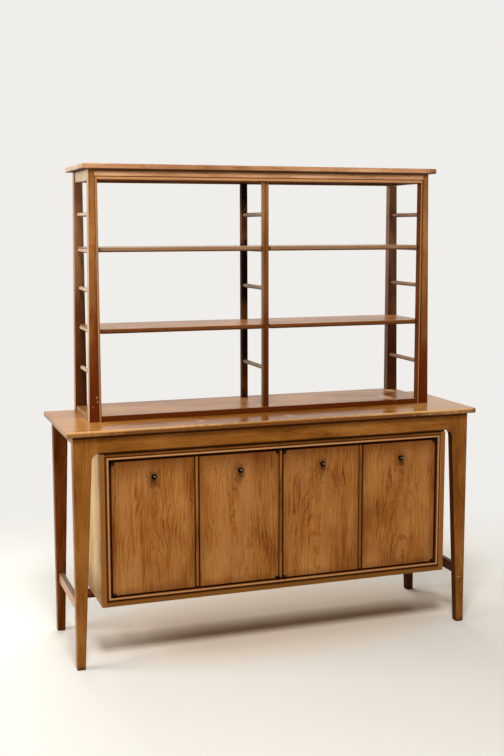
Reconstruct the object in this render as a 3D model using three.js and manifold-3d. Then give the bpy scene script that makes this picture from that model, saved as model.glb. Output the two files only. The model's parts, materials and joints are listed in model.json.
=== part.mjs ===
// A long four door sideboard with an open shelf hutch on its top.
// Millimetres, +Z up, the doors face -Y. The origin is on the floor, in the middle of the
// base top's length and depth. The case hangs in an open leg frame, and each door turns on
// knife hinges at the top and bottom corner of one edge.

import * as THREE from "three";
import { mergeVertices } from "three/addons/utils/BufferGeometryUtils.js";
import Module from "manifold-3d";

const wasm = await Module();
wasm.setup();

// Fits and roundings that all pieces share
const joint_gap = 0.3;
const overrun = 2;
const curve_steps = 8;
const nose_steps = 4;
const edge_steps = 2;

// Base top
const top_length = 1480;
const top_depth = 454;
const top_thickness = 18;
const top_nose = 8;
const base_height = 800;

// Legs and aprons
const leg_end_inset = 23;
const rear_leg_end_inset = 25;
const leg_front_inset = 19;
const leg_rear_inset = 9;
const leg_depth = 32;
const leg_edge = 3;
const front_leg_foot_width = 27;
const front_leg_knee_width = 65.5;
const front_leg_shoulder_width = 84;
const haunch_radius = 27;
const rear_leg_foot_width = 27;
const rear_leg_top_width = 52;
const apron_height = 59;
const apron_thickness = 21;
const tongue_setback = 9;
const rear_apron_inset = 5;

// Side rails, stretchers and the cross slat
const side_rail_height = 32;
const side_rail_thickness = 20;
const side_rail_inset = 5;
const stretcher_height = 37.5;
const stretcher_lap = 12;
const stretcher_thickness = 19;
const stretcher_inset = 11;
const stretcher_edge = 4;
const slat_width = 65;
const slat_thickness = 13;
const slat_front = -48;

// Case
const case_end_gap = 3;
const case_height = 513.5;
const case_drop = 6;
const case_setback = 3;
const side_panel_thickness = 15.5;
const top_panel_thickness = 8.5;
const bottom_panel_thickness = 14;
const back_panel_thickness = 6;
const partition_thickness = 18;
const mullion_width = 44;
const mullion_thickness = 12;
const strip_width = 9;

// Bead frame round the doors
const frame_side_width = 14.5;
const frame_top_width = 12;
const frame_bottom_width = 16;
const frame_bead_width = 8.5;
const frame_bead_round = 4;
const frame_groove_depth = 6;
const frame_bead_root = 15;
const frame_depth = 33;
const stop_lip = 6;
const stop_gap = 1;

// Doors, knobs and hinges
const door_thickness = 18;
const door_recess = 6;
const reveal_side = 8;
const reveal_top = 8.5;
const reveal_bottom = 5.5;
const door_spacing = 18;
const knob_drop = 55;
const knob_radius = 10;
const knob_reach = 18;
const knob_foot_radius = 6.5;
const knob_foot_thickness = 2;
const knob_neck_radius = 4;
const knob_neck_length = 5;
const hinge_inset = 3.5;
const hinge_proud = 1;
const knuckle_radius = 7;
const knuckle_lap = 7;
const knuckle_gap = 0.75;
const leaf_length = 45;
const leaf_thickness = 1.5;
const leaf_front = 3;
const leaf_rear = 15;
const pin_radius = 2;
const pin_reach = 5;
const pin_clearance = 0.5;
const pin_hole_depth = 6;

// Hutch
const hutch_height = 853.5;
const hutch_setback = 166;
const hutch_rear_setback = 4.5;
const hutch_end_setback = 108;
const post_foot_width = 42;
const post_head_width = 29;
const post_depth = 30;
const post_bead_width = 7;
const post_groove_width = 2.5;
const bead_depth = 3.5;
const hutch_top_thickness = 18;
const hutch_top_end_overhang = 25;
const hutch_top_front_overhang = 15.5;
const hutch_top_rear_overhang = 4;
const hutch_top_nose = 8;
const frieze_height = 34;
const frieze_thickness = 24;
const frieze_bead_width = 10;
const rear_rail_thickness = 22;
const hutch_side_rail_thickness = 18;
const hutch_side_rail_inset = 3;
const board_thickness = 18.5;
const board_end_inset = 3.5;
const board_front_setback = 1;
const board_rear_setback = 2.5;

// Ladders and shelves
const rung_radius = 7.5;
const rung_inset = 14;
const rung_height_shares = [0.174, 0.356, 0.532, 0.702, 0.858];
const centre_post_width = 21;
const centre_post_depth = 22;
const centre_post_setback = 11;
const centre_post_bead_width = 9;
const centre_rear_post_width = 22;
const centre_rear_post_depth = 22;
const centre_rear_post_inset = 12.5;
const shelf_thickness = 15.5;
const shelf_over_rung = 5;
const shelf_setback = 11;
const shelf_rear_setback = 17.5;
const shelf_end_lap = 21;
const shelf_edge = 5;
const shelf_side_gap = 8;
const shelf_post_gap = 0.5;
const shelf_rungs = { lower: 1, upper: 3 };

// Places worked out from the sizes above
const top_low = base_height - top_thickness;
const leg_outer = top_length / 2 - leg_end_inset;
const rear_leg_outer = top_length / 2 - rear_leg_end_inset;
const leg_front = -top_depth / 2 + leg_front_inset;
const rear_leg_front = top_depth / 2 - leg_rear_inset - leg_depth;
const rear_apron_rear = rear_leg_front + leg_depth - rear_apron_inset;
const apron_low = top_low - apron_height;
const case_low = apron_low - case_drop - case_height;
const stretcher_low = case_low + stretcher_lap - stretcher_height;
const case_front = leg_front + case_setback;
const case_rear = rear_apron_rear;
const case_half = leg_outer - front_leg_shoulder_width - case_end_gap;
const frame_half = case_half - side_panel_thickness;
const frame_low = bottom_panel_thickness;
const frame_high = case_height - top_panel_thickness;
const mouth_half = frame_half - frame_side_width;
const mouth_low = frame_low + frame_bottom_width;
const mouth_high = frame_high - frame_top_width;
const frame_rear = case_front + frame_depth;
const door_front = case_front + door_recess;
const door_rear = door_front + door_thickness;
const door_low = mouth_low + reveal_bottom;
const door_high = mouth_high - reveal_top;
const doors_half = mouth_half - reveal_side;
const door_width = (doors_half - door_spacing / 2 - door_spacing) / 2;
const mullion_x = door_width + door_spacing;
const hinge_y = door_front - hinge_proud;

const hutch_front = -top_depth / 2 + hutch_setback;
const hutch_rear = top_depth / 2 - hutch_rear_setback;
const post_back = hutch_front + post_depth;
const rear_post_front = hutch_rear - post_depth;
const post_foot_outer = top_length / 2 - hutch_end_setback;
const post_inner = post_foot_outer - post_foot_width;
const post_head_outer = post_inner + post_head_width;
const hutch_top_low = hutch_height - hutch_top_thickness;
const frieze_low = hutch_top_low - frieze_height;
const centre_post_front = hutch_front + centre_post_setback;
const centre_post_back = centre_post_front + centre_post_depth;
const centre_rear_front = rear_post_front - centre_rear_post_inset;
const post_band_start = post_bead_width + post_groove_width;
const frieze_band_start = frieze_bead_width + post_groove_width;
const shelf_front = hutch_front + shelf_setback;
const shelf_rear = hutch_rear - shelf_rear_setback;
const rung_x = post_inner + rung_inset;

// Colours and finishes
const finishes = {
  frame_wood: { color: 0x8c5a2b, roughness: 0.42, metalness: 0 },
  top_wood: { color: 0xa9743f, roughness: 0.32, metalness: 0 },
  case_wood: { color: 0x855326, roughness: 0.45, metalness: 0 },
  bead_wood: { color: 0xb5875a, roughness: 0.38, metalness: 0 },
  door_veneer: { color: 0x96602f, roughness: 0.4, metalness: 0 },
  hutch_wood: { color: 0x8a562a, roughness: 0.42, metalness: 0 },
  shelf_wood: { color: 0x9c6a3c, roughness: 0.38, metalness: 0 },
  inner_wood: { color: 0x6e4a2a, roughness: 0.6, metalness: 0 },
  dark_metal: { color: 0x2e2620, roughness: 0.45, metalness: 0.85 },
};

// Sections run along an axis: across and up in the drawing become the other two axes
const x_axis = new THREE.Vector3(1, 0, 0);
const y_axis = new THREE.Vector3(0, 1, 0);
const z_axis = new THREE.Vector3(0, 0, 1);
const along_x = new THREE.Matrix4().makeBasis(y_axis, z_axis, x_axis);
const along_y = new THREE.Matrix4().makeBasis(x_axis, z_axis, y_axis.clone().negate());

function shape_of(points) {
  return new THREE.Shape(points.map(([across, up]) => new THREE.Vector2(across, up)));
}

function ordered(first, second) {
  return [Math.min(first, second), Math.max(first, second)];
}

function mirrored(points, side) {
  return points.map(([across, up]) => [side * across, up]);
}

function rectangle([low_x, high_x], [low_y, high_y]) {
  return [[low_x, low_y], [high_x, low_y], [high_x, high_y], [low_x, high_y]];
}

// Points of an arc round a centre, from one angle to another
function arc([across, up], radius, start, end, steps = curve_steps) {
  const points = [];
  for (let i = 0; i <= steps; i += 1) {
    const angle = start + ((end - start) * i) / steps;
    points.push([across + radius * Math.cos(angle), up + radius * Math.sin(angle)]);
  }
  return points;
}

function rounded_rectangle([low_x, high_x], [low_y, high_y], radius) {
  const quarter = Math.PI / 2;
  return [
    ...arc([low_x + radius, low_y + radius], radius, 2 * quarter, 3 * quarter, edge_steps),
    ...arc([high_x - radius, low_y + radius], radius, 3 * quarter, 4 * quarter, edge_steps),
    ...arc([high_x - radius, high_y - radius], radius, 0, quarter, edge_steps),
    ...arc([low_x + radius, high_y - radius], radius, quarter, 2 * quarter, edge_steps),
  ];
}

// A bead seen end on: it starts at one side, rises to the face and falls again
function bead(start, width, depth) {
  const points = [];
  for (let i = 0; i <= curve_steps; i += 1) {
    const angle = (Math.PI * i) / curve_steps;
    points.push([start + (width / 2) * (1 - Math.cos(angle)), depth * (1 - Math.sin(angle))]);
  }
  return points;
}

function block([low_x, high_x], [low_y, high_y], [low_z, high_z]) {
  const geometry = new THREE.BoxGeometry(high_x - low_x, high_y - low_y, high_z - low_z);
  return geometry.translate((low_x + high_x) / 2, (low_y + high_y) / 2, (low_z + high_z) / 2);
}

// A section drawn across X and up Z, run from one Y to another, its end edges rounded
function run_y(shape, [low_y, high_y], edge = 0) {
  const geometry = new THREE.ExtrudeGeometry(shape, {
    depth: high_y - low_y - 2 * edge,
    bevelEnabled: edge > 0,
    bevelThickness: edge,
    bevelSize: edge,
    bevelOffset: -edge,
    bevelSegments: edge_steps,
  });
  return geometry.applyMatrix4(along_y).translate(0, high_y - edge, 0);
}

// A section drawn across Y and up Z, run from one X to another
function run_x(shape, [low_x, high_x]) {
  const geometry = new THREE.ExtrudeGeometry(shape, { depth: high_x - low_x, bevelEnabled: false });
  return geometry.applyMatrix4(along_x).translate(low_x, 0, 0);
}

// A plan drawn across X and Y, run upwards, with a rounded nose all round
function run_z(shape, [low_z, high_z], nose = 0) {
  const geometry = new THREE.ExtrudeGeometry(shape, {
    depth: high_z - low_z - 2 * nose,
    bevelEnabled: nose > 0,
    bevelThickness: nose,
    bevelSize: nose,
    bevelOffset: -nose,
    bevelSegments: nose_steps,
  });
  return geometry.translate(0, 0, low_z + nose);
}

function upright_cylinder(radius, [low_z, high_z], [x, y], sides = 16) {
  const geometry = new THREE.CylinderGeometry(radius, radius, high_z - low_z, sides);
  return geometry.rotateX(Math.PI / 2).translate(x, y, (low_z + high_z) / 2);
}

// Booleans on closed meshes
function solid_of(geometry) {
  const bare = geometry.clone();
  bare.deleteAttribute("normal");
  bare.deleteAttribute("uv");
  const merged = mergeVertices(bare);
  return new wasm.Manifold(new wasm.Mesh({
    numProp: 3,
    vertProperties: new Float32Array(merged.attributes.position.array),
    triVerts: new Uint32Array(merged.index.array),
  }));
}

function geometry_of(solid) {
  const mesh = solid.getMesh();
  const geometry = new THREE.BufferGeometry();
  geometry.setAttribute("position", new THREE.BufferAttribute(mesh.vertProperties, mesh.numProp));
  geometry.setIndex(new THREE.BufferAttribute(mesh.triVerts, 1));
  geometry.computeVertexNormals();
  return geometry;
}

function joined(...geometries) {
  return geometry_of(geometries.map(solid_of).reduce((whole, next) => whole.add(next)));
}

function cut(geometry, ...tools) {
  return geometry_of(tools.map(solid_of).reduce((left, tool) => left.subtract(tool), solid_of(geometry)));
}

function common(first, second) {
  return geometry_of(solid_of(first).intersect(solid_of(second)));
}

function piece(name, geometry, finish) {
  const mesh = new THREE.Mesh(geometry, new THREE.MeshStandardMaterial(finishes[finish]));
  mesh.name = name;
  return mesh;
}

// Leg frame

function base_top() {
  const plan = shape_of(rectangle([-top_length / 2, top_length / 2], [-top_depth / 2, top_depth / 2]));
  return piece("base_top", run_z(plan, [top_low, base_height], top_nose), "top_wood");
}

// The curve from the tapered inner side of a front leg into the apron's lower edge
function haunch() {
  const taper = (front_leg_knee_width - front_leg_foot_width) / top_low;
  const tilt = Math.atan(taper);
  const centre_z = apron_low - haunch_radius;
  const inner_x = leg_outer - front_leg_foot_width - taper * centre_z;
  const centre_x = inner_x - haunch_radius / Math.cos(tilt);
  const shoulder_x = leg_outer - front_leg_shoulder_width;
  const split = Math.acos((shoulder_x - centre_x) / haunch_radius);
  return { centre: [centre_x, centre_z], tilt, split, shoulder_x };
}

function front_leg(name, side) {
  const { centre, tilt, split, shoulder_x } = haunch();
  const points = [
    [leg_outer - front_leg_foot_width, 0],
    [leg_outer, 0],
    [leg_outer, top_low],
    [shoulder_x, top_low],
    ...arc(centre, haunch_radius, split, tilt),
  ];
  const shape = shape_of(mirrored(points, side));
  return piece(name, run_y(shape, [leg_front, leg_front + leg_depth], leg_edge), "frame_wood");
}

function rear_leg(name, side) {
  const points = [
    [rear_leg_outer - rear_leg_foot_width, 0],
    [rear_leg_outer, 0],
    [rear_leg_outer, top_low],
    [rear_leg_outer - rear_leg_top_width, top_low],
    [rear_leg_outer - rear_leg_top_width, apron_low],
  ];
  const shape = shape_of(mirrored(points, side));
  return piece(name, run_y(shape, [rear_leg_front, rear_leg_front + leg_depth], leg_edge), "frame_wood");
}

function front_apron() {
  const { centre, split, shoulder_x } = haunch();
  const right = [
    ...arc(centre, haunch_radius, Math.PI / 2, split, edge_steps),
    [shoulder_x, top_low],
  ];
  const left = mirrored(right, -1).reverse();
  const board = run_y(shape_of([...right, ...left]), [leg_front, leg_front + apron_thickness]);
  const tongue = block(
    [-centre[0], centre[0]],
    [leg_front + tongue_setback, leg_front + apron_thickness],
    [apron_low - case_drop, apron_low + overrun],
  );
  return piece("front_apron", joined(board, tongue), "frame_wood");
}

function rear_apron() {
  const half = rear_leg_outer - rear_leg_top_width;
  const depth = [rear_apron_rear - apron_thickness, rear_apron_rear];
  const board = block([-half, half], depth, [apron_low, top_low]);
  const tongue = block([-case_half, case_half], depth, [apron_low - case_drop, apron_low + overrun]);
  return piece("rear_apron", joined(board, tongue), "frame_wood");
}

// Upper rail and low stretcher at one end of the frame, between the front and the rear leg
function side_rail(name, side) {
  const outer = leg_outer - side_rail_inset;
  const points = rectangle([outer - side_rail_thickness, outer], [top_low - side_rail_height, top_low]);
  const shape = shape_of(mirrored(points, side));
  return piece(name, run_y(shape, [leg_front + leg_depth, rear_leg_front]), "frame_wood");
}

function stretcher(name, side) {
  const outer = leg_outer - stretcher_inset;
  const points = rounded_rectangle(
    [outer - stretcher_thickness, outer],
    [stretcher_low, stretcher_low + stretcher_height],
    stretcher_edge,
  );
  const shape = shape_of(mirrored(points, side));
  return piece(name, run_y(shape, [leg_front + leg_depth, rear_leg_front]), "frame_wood");
}

function cross_slat() {
  const half = leg_outer - stretcher_inset - stretcher_thickness;
  const depth = [slat_front, slat_front + slat_width];
  const geometry = block([-half, half], depth, [case_low - slat_thickness, case_low]);
  return piece("cross_slat", geometry, "frame_wood");
}

// Case, drawn from its own lower face up

function case_side(name, side) {
  const points = rectangle([frame_half, case_half], [0, case_height]);
  return piece(name, run_y(shape_of(mirrored(points, side)), [case_front, case_rear]), "case_wood");
}

function case_top() {
  const geometry = block([-frame_half, frame_half], [case_front, case_rear], [frame_high, case_height]);
  return piece("case_top", geometry, "case_wood");
}

function case_bottom() {
  const geometry = block([-frame_half, frame_half], [case_front, case_rear], [0, frame_low]);
  return piece("case_bottom", geometry, "case_wood");
}

function case_back() {
  const depth = [case_rear - back_panel_thickness, case_rear];
  return piece("case_back", block([-frame_half, frame_half], depth, [frame_low, frame_high]), "inner_wood");
}

// The strip between two doors, with a web that passes between the frame's stop lips
function divider_strip(x) {
  const lip_front = door_rear + stop_gap;
  const width = [x - strip_width / 2, x + strip_width / 2];
  const face = block(width, [door_front, lip_front - joint_gap], [door_low, door_high]);
  const web = block(
    width,
    [lip_front - overrun, frame_rear + overrun],
    [door_low + stop_lip + joint_gap, door_high - stop_lip - joint_gap],
  );
  return [face, web];
}

function case_partition() {
  const half = partition_thickness / 2;
  const depth = [frame_rear, case_rear - back_panel_thickness];
  const board = block([-half, half], depth, [frame_low, frame_high]);
  return piece("case_partition", joined(board, ...divider_strip(0)), "inner_wood");
}

function mullion(name, side) {
  const x = side * mullion_x;
  const board = block(
    [x - mullion_width / 2, x + mullion_width / 2],
    [frame_rear, frame_rear + mullion_thickness],
    [frame_low, frame_high],
  );
  return piece(name, joined(board, ...divider_strip(x)), "case_wood");
}

// A closed outline with another one cut out of it
function ring_shape(outer_points, inner_points) {
  const shape = shape_of(outer_points);
  shape.holes.push(new THREE.Path(shape_of(inner_points).getPoints()));
  return shape;
}

// The frame's opening, grown on all sides by a margin
function mouth_points(margin) {
  const half = mouth_half + margin;
  return rectangle([-half, half], [mouth_low - margin, mouth_high + margin]);
}

function bead_frame() {
  const outer = rectangle([-frame_half, frame_half], [frame_low, frame_high]);
  const body = run_y(ring_shape(outer, mouth_points(0)), [case_front + frame_groove_depth, frame_rear]);
  const round = run_y(
    ring_shape(mouth_points(frame_bead_width), mouth_points(0)),
    [case_front, case_front + frame_bead_root],
    frame_bead_round,
  );
  const lip_inner = rectangle(
    [-doors_half + stop_lip, doors_half - stop_lip],
    [door_low + stop_lip, door_high - stop_lip],
  );
  const lip = run_y(ring_shape(mouth_points(overrun), lip_inner), [door_rear + stop_gap, frame_rear]);
  const holes = [];
  for (const x of hinge_places()) {
    for (const [mouth, up] of [[mouth_high, 1], [mouth_low, -1]]) {
      const ends = ordered(mouth - up * overrun, mouth + up * pin_hole_depth);
      holes.push(upright_cylinder(pin_radius + pin_clearance, ends, [x, hinge_y]));
    }
  }
  return piece("bead_frame", cut(joined(body, round, lip), ...holes), "bead_wood");
}

// Doors, each drawn round its own hinge line

function hinge_places() {
  const outer = doors_half - hinge_inset;
  const inner = door_spacing / 2 + hinge_inset;
  return [-outer, -inner, inner, outer];
}

function door_panel(name, hand) {
  const sheet = run_y(
    shape_of(mirrored(rectangle([-hinge_inset, door_width - hinge_inset], [door_low, door_high]), hand)),
    [hinge_proud, hinge_proud + door_thickness],
  );
  const notch = knuckle_lap + joint_gap;
  const radius = knuckle_radius + joint_gap;
  return piece(name, cut(
    sheet,
    upright_cylinder(radius, [door_high - notch, door_high + overrun], [0, 0]),
    upright_cylinder(radius, [door_low - overrun, door_low + notch], [0, 0]),
  ), "door_veneer");
}

// A knuckle in the notch of the door's corner, a leaf on the door's edge and a pin into the frame
function hinge(name, hand, up) {
  const edge = up > 0 ? door_high : door_low;
  const mouth = up > 0 ? mouth_high : mouth_low;
  const barrel_end = mouth - up * knuckle_gap;
  const barrel = upright_cylinder(knuckle_radius, ordered(edge - up * knuckle_lap, barrel_end), [0, 0]);
  const leaf = block(
    ordered(0, hand * leaf_length),
    [hinge_proud + leaf_front, hinge_proud + leaf_rear],
    ordered(edge, edge + up * leaf_thickness),
  );
  const pin_ends = ordered(barrel_end - up * overrun, mouth + up * pin_reach);
  const pin = upright_cylinder(pin_radius, pin_ends, [0, 0]);
  return piece(name, joined(barrel, leaf, pin), "dark_metal");
}

function knob(name, hand) {
  const head_length = knob_reach - knob_foot_thickness - knob_neck_length;
  const head_centre = knob_reach - head_length / 2;
  const start = Math.asin(-knob_neck_length / head_length);
  const profile = [
    new THREE.Vector2(0, 0),
    new THREE.Vector2(knob_foot_radius, 0),
    new THREE.Vector2(knob_foot_radius, knob_foot_thickness),
    new THREE.Vector2(knob_neck_radius, knob_foot_thickness),
  ];
  for (let i = 0; i < curve_steps; i += 1) {
    const angle = start + ((Math.PI / 2 - start) * i) / curve_steps;
    profile.push(new THREE.Vector2(
      knob_radius * Math.cos(angle),
      head_centre + (head_length / 2) * Math.sin(angle),
    ));
  }
  profile.push(new THREE.Vector2(0, knob_reach));
  const mesh = piece(name, new THREE.LatheGeometry(profile, 2 * curve_steps), "dark_metal");
  mesh.rotation.x = Math.PI;
  mesh.position.set(hand * (door_width / 2 - hinge_inset), hinge_proud, door_high - knob_drop);
  return mesh;
}

function door(name, x, hand) {
  const group = new THREE.Group();
  group.position.set(x, hinge_y, 0);
  group.add(
    door_panel(`door_${name}`, hand),
    knob(`knob_${name}`, hand),
    hinge(`hinge_${name}_top`, hand, 1),
    hinge(`hinge_${name}_low`, hand, -1),
  );
  return group;
}

// Hutch, drawn from the base top up

// The side view of a corner post, from its straight inner side to its tapered outer side
function post_outline(side) {
  const points = [
    [post_inner - overrun, 0],
    [post_foot_outer, 0],
    [post_head_outer, hutch_top_low],
    [post_inner - overrun, hutch_top_low],
  ];
  return shape_of(mirrored(points, side));
}

function front_post(name, side) {
  const outer = post_foot_width + overrun;
  const section = [
    ...bead(0, post_bead_width, bead_depth),
    [post_band_start, bead_depth],
    [post_band_start, 0],
    [outer, 0],
    [outer, post_depth],
    [0, post_depth],
  ].map(([across, back]) => [side * (post_inner + across), hutch_front + back]);
  const blank = run_z(shape_of(section), [0, hutch_top_low]);
  const taper = run_y(post_outline(side), [hutch_front - overrun, post_back + overrun]);
  const corner = [
    [post_inner - overrun, frieze_low],
    [post_inner, frieze_low],
    [post_inner + post_band_start, frieze_low + frieze_band_start],
    [post_inner + post_band_start, hutch_top_low + overrun],
    [post_inner - overrun, hutch_top_low + overrun],
  ];
  const mitre = run_y(shape_of(mirrored(corner, side)), [hutch_front - overrun, post_back + overrun]);
  return piece(name, cut(common(blank, taper), mitre), "hutch_wood");
}

function rear_post(name, side) {
  const points = [
    [post_inner, 0],
    [post_foot_outer, 0],
    [post_head_outer, hutch_top_low],
    [post_inner, hutch_top_low],
  ];
  const shape = shape_of(mirrored(points, side));
  return piece(name, run_y(shape, [rear_post_front, hutch_rear]), "hutch_wood");
}

// The front rail, whose bead meets the posts' beads in a mitre
function frieze_rail() {
  const section = [
    ...bead(0, frieze_bead_width, bead_depth).map(([up, back]) => [back, up]),
    [bead_depth, frieze_band_start],
    [0, frieze_band_start],
    [0, frieze_height],
    [frieze_thickness, frieze_height],
    [frieze_thickness, 0],
  ].map(([back, up]) => [hutch_front + back, frieze_low + up]);
  const half = post_inner + post_band_start;
  const blank = run_x(shape_of(section), [-half, half]);
  const right = [
    [post_inner - joint_gap, frieze_low - overrun],
    [post_inner - joint_gap, frieze_low],
    [half - joint_gap, frieze_low + frieze_band_start],
    [half - joint_gap, hutch_top_low + overrun],
  ];
  const left = mirrored(right, -1).reverse();
  const ends = run_y(shape_of([...right, ...left]), [hutch_front - overrun, post_back]);
  return piece("frieze_rail", common(blank, ends), "hutch_wood");
}

function rear_rail() {
  const depth = [rear_post_front, rear_post_front + rear_rail_thickness];
  const geometry = block([-post_inner, post_inner], depth, [frieze_low, hutch_top_low]);
  return piece("rear_rail", geometry, "hutch_wood");
}

function hutch_side_rail(name, side) {
  const outer = post_head_outer - hutch_side_rail_inset;
  const points = rectangle([outer - hutch_side_rail_thickness, outer], [frieze_low, hutch_top_low]);
  return piece(name, run_y(shape_of(mirrored(points, side)), [post_back, rear_post_front]), "hutch_wood");
}

function hutch_top() {
  const half = post_head_outer + hutch_top_end_overhang;
  const front = hutch_front - hutch_top_front_overhang;
  const rear = hutch_rear + hutch_top_rear_overhang;
  const plan = shape_of(rectangle([-half, half], [front, rear]));
  return piece("hutch_top", run_z(plan, [hutch_top_low, hutch_height], hutch_top_nose), "hutch_wood");
}

// The board on the base top: its ends run out between the posts
function hutch_board() {
  const inner = post_inner;
  const outer = post_foot_outer - board_end_inset;
  const front = hutch_front + board_front_setback;
  const rear = hutch_rear - board_rear_setback;
  const plan = [
    [-inner, front], [inner, front], [inner, post_back], [outer, post_back],
    [outer, rear_post_front], [inner, rear_post_front], [inner, rear], [-inner, rear],
    [-inner, rear_post_front], [-outer, rear_post_front], [-outer, post_back], [-inner, post_back],
  ];
  return piece("hutch_board", run_z(shape_of(plan), [0, board_thickness]), "shelf_wood");
}

function rung_height(index) {
  return board_thickness + rung_height_shares[index] * (frieze_low - board_thickness);
}

function rung_rod(x, [low_y, high_y], height) {
  const rod = new THREE.CylinderGeometry(rung_radius, rung_radius, high_y - low_y, 2 * curve_steps);
  return rod.translate(x, (low_y + high_y) / 2, height);
}

function end_rung(name, side, index) {
  const geometry = rung_rod(side * rung_x, [post_back, rear_post_front], rung_height(index));
  return piece(name, geometry, "hutch_wood");
}

// The middle ladder is glued up as one piece: two posts and the rungs between them
function centre_ladder() {
  const start = -centre_post_width / 2;
  const section = [
    ...bead(0, centre_post_bead_width, bead_depth),
    ...bead(centre_post_width - centre_post_bead_width, centre_post_bead_width, bead_depth),
    [centre_post_width, centre_post_depth],
    [0, centre_post_depth],
  ].map(([across, back]) => [start + across, centre_post_front + back]);
  const front = run_z(shape_of(section), [board_thickness, frieze_low]);
  const half = centre_rear_post_width / 2;
  const rear = block(
    [-half, half],
    [centre_rear_front, centre_rear_front + centre_rear_post_depth],
    [board_thickness, frieze_low],
  );
  const span = [centre_post_back - overrun, centre_rear_front + overrun];
  const rungs = rung_height_shares.map((share, index) => rung_rod(0, span, rung_height(index)));
  return piece("centre_ladder", joined(front, rear, ...rungs), "hutch_wood");
}

// A long shelf that lies on the rungs, notched round the posts
function shelf(name, index) {
  const top = rung_height(index) + rung_radius + shelf_over_rung;
  const low = top - shelf_thickness;
  const half = post_inner + shelf_end_lap;
  const wide = half + shelf_edge;
  const across = [shelf_front - overrun, shelf_rear + overrun];
  const levels = [low - overrun, top + overrun];
  const plan = shape_of(rectangle([-wide, wide], [shelf_front, shelf_rear]));
  const blank = run_z(plan, [low, top], shelf_edge);
  const ends = block([-half, half], across, levels);
  const front_notch = [shelf_front - overrun, post_back + shelf_post_gap];
  const rear_notch = [rear_post_front - shelf_post_gap, shelf_rear + overrun];
  const corner = post_inner - shelf_side_gap;
  const front_half = centre_post_width / 2 + shelf_side_gap;
  const rear_half = centre_rear_post_width / 2 + shelf_side_gap;
  const saddle = rung_radius + joint_gap;
  const under = [low - overrun, rung_height(index) + saddle];
  const inner = rung_x - saddle;
  const centre_notch = [shelf_front - overrun, centre_post_back + shelf_post_gap];
  const centre_rear_notch = [centre_rear_front - shelf_post_gap, shelf_rear + overrun];
  const tools = [
    block([-front_half, front_half], centre_notch, levels),
    block([-rear_half, rear_half], centre_rear_notch, levels),
    block([-saddle, saddle], across, under),
  ];
  for (const side of [-1, 1]) {
    const beyond = ordered(side * corner, side * (half + overrun));
    const over_rung = ordered(side * inner, side * (half + overrun));
    tools.push(
      block(beyond, front_notch, levels),
      block(beyond, rear_notch, levels),
      block(over_rung, across, under),
    );
  }
  return piece(name, cut(common(blank, ends), ...tools), "shelf_wood");
}

// Assembly

const leg_frame = new THREE.Group();
leg_frame.add(
  base_top(),
  front_apron(),
  rear_apron(),
  side_rail("side_rail_left", -1),
  side_rail("side_rail_right", 1),
  front_leg("leg_front_left", -1),
  front_leg("leg_front_right", 1),
  rear_leg("leg_rear_left", -1),
  rear_leg("leg_rear_right", 1),
  stretcher("stretcher_left", -1),
  stretcher("stretcher_right", 1),
  cross_slat(),
);

const door_case = new THREE.Group();
door_case.position.z = case_low;
const [outer_left_x, inner_left_x, inner_right_x, outer_right_x] = hinge_places();
door_case.add(
  case_side("case_side_left", -1),
  case_side("case_side_right", 1),
  case_top(),
  case_bottom(),
  case_back(),
  case_partition(),
  mullion("mullion_left", -1),
  mullion("mullion_right", 1),
  bead_frame(),
  door("outer_left", outer_left_x, 1),
  door("inner_left", inner_left_x, -1),
  door("inner_right", inner_right_x, 1),
  door("outer_right", outer_right_x, -1),
);

const hutch = new THREE.Group();
hutch.position.z = base_height;
hutch.add(
  hutch_board(),
  front_post("post_front_left", -1),
  front_post("post_front_right", 1),
  rear_post("post_rear_left", -1),
  rear_post("post_rear_right", 1),
  frieze_rail(),
  rear_rail(),
  hutch_side_rail("hutch_side_rail_left", -1),
  hutch_side_rail("hutch_side_rail_right", 1),
  hutch_top(),
  centre_ladder(),
  shelf("shelf_lower", shelf_rungs.lower),
  shelf("shelf_upper", shelf_rungs.upper),
);
for (const index of rung_height_shares.keys()) {
  hutch.add(end_rung(`rung_left_${index + 1}`, -1, index));
  hutch.add(end_rung(`rung_right_${index + 1}`, 1, index));
}

const dresser_with_hutch = new THREE.Group();
dresser_with_hutch.add(leg_frame, door_case, hutch);

export default dresser_with_hutch;
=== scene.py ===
# A long four door sideboard with an open shelf hutch, dressed in satin wood.
# Metres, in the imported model's frame: +Z up, the doors face -Y, the origin on the floor.

import json
import math

import bmesh
import bpy
from mathutils import Matrix, Vector

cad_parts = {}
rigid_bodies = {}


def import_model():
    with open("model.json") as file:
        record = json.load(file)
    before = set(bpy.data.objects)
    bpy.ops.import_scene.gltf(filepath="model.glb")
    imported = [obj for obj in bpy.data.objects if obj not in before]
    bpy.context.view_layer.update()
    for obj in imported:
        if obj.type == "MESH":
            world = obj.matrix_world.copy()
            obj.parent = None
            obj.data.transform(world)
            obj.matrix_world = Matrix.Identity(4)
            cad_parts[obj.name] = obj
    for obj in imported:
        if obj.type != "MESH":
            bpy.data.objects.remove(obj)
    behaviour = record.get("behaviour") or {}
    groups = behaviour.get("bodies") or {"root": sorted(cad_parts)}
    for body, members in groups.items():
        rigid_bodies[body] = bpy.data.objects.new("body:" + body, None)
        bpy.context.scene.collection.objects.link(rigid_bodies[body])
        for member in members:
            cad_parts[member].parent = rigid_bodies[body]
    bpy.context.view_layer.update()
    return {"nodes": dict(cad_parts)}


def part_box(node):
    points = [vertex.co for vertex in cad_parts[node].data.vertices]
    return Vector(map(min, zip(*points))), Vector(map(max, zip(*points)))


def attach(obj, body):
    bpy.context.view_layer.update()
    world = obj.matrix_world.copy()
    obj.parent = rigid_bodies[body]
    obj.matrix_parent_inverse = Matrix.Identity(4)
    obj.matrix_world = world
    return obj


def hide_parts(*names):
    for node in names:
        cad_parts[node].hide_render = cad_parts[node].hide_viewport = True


for left_over in list(bpy.data.objects):
    bpy.data.objects.remove(left_over)

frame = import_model()

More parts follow.
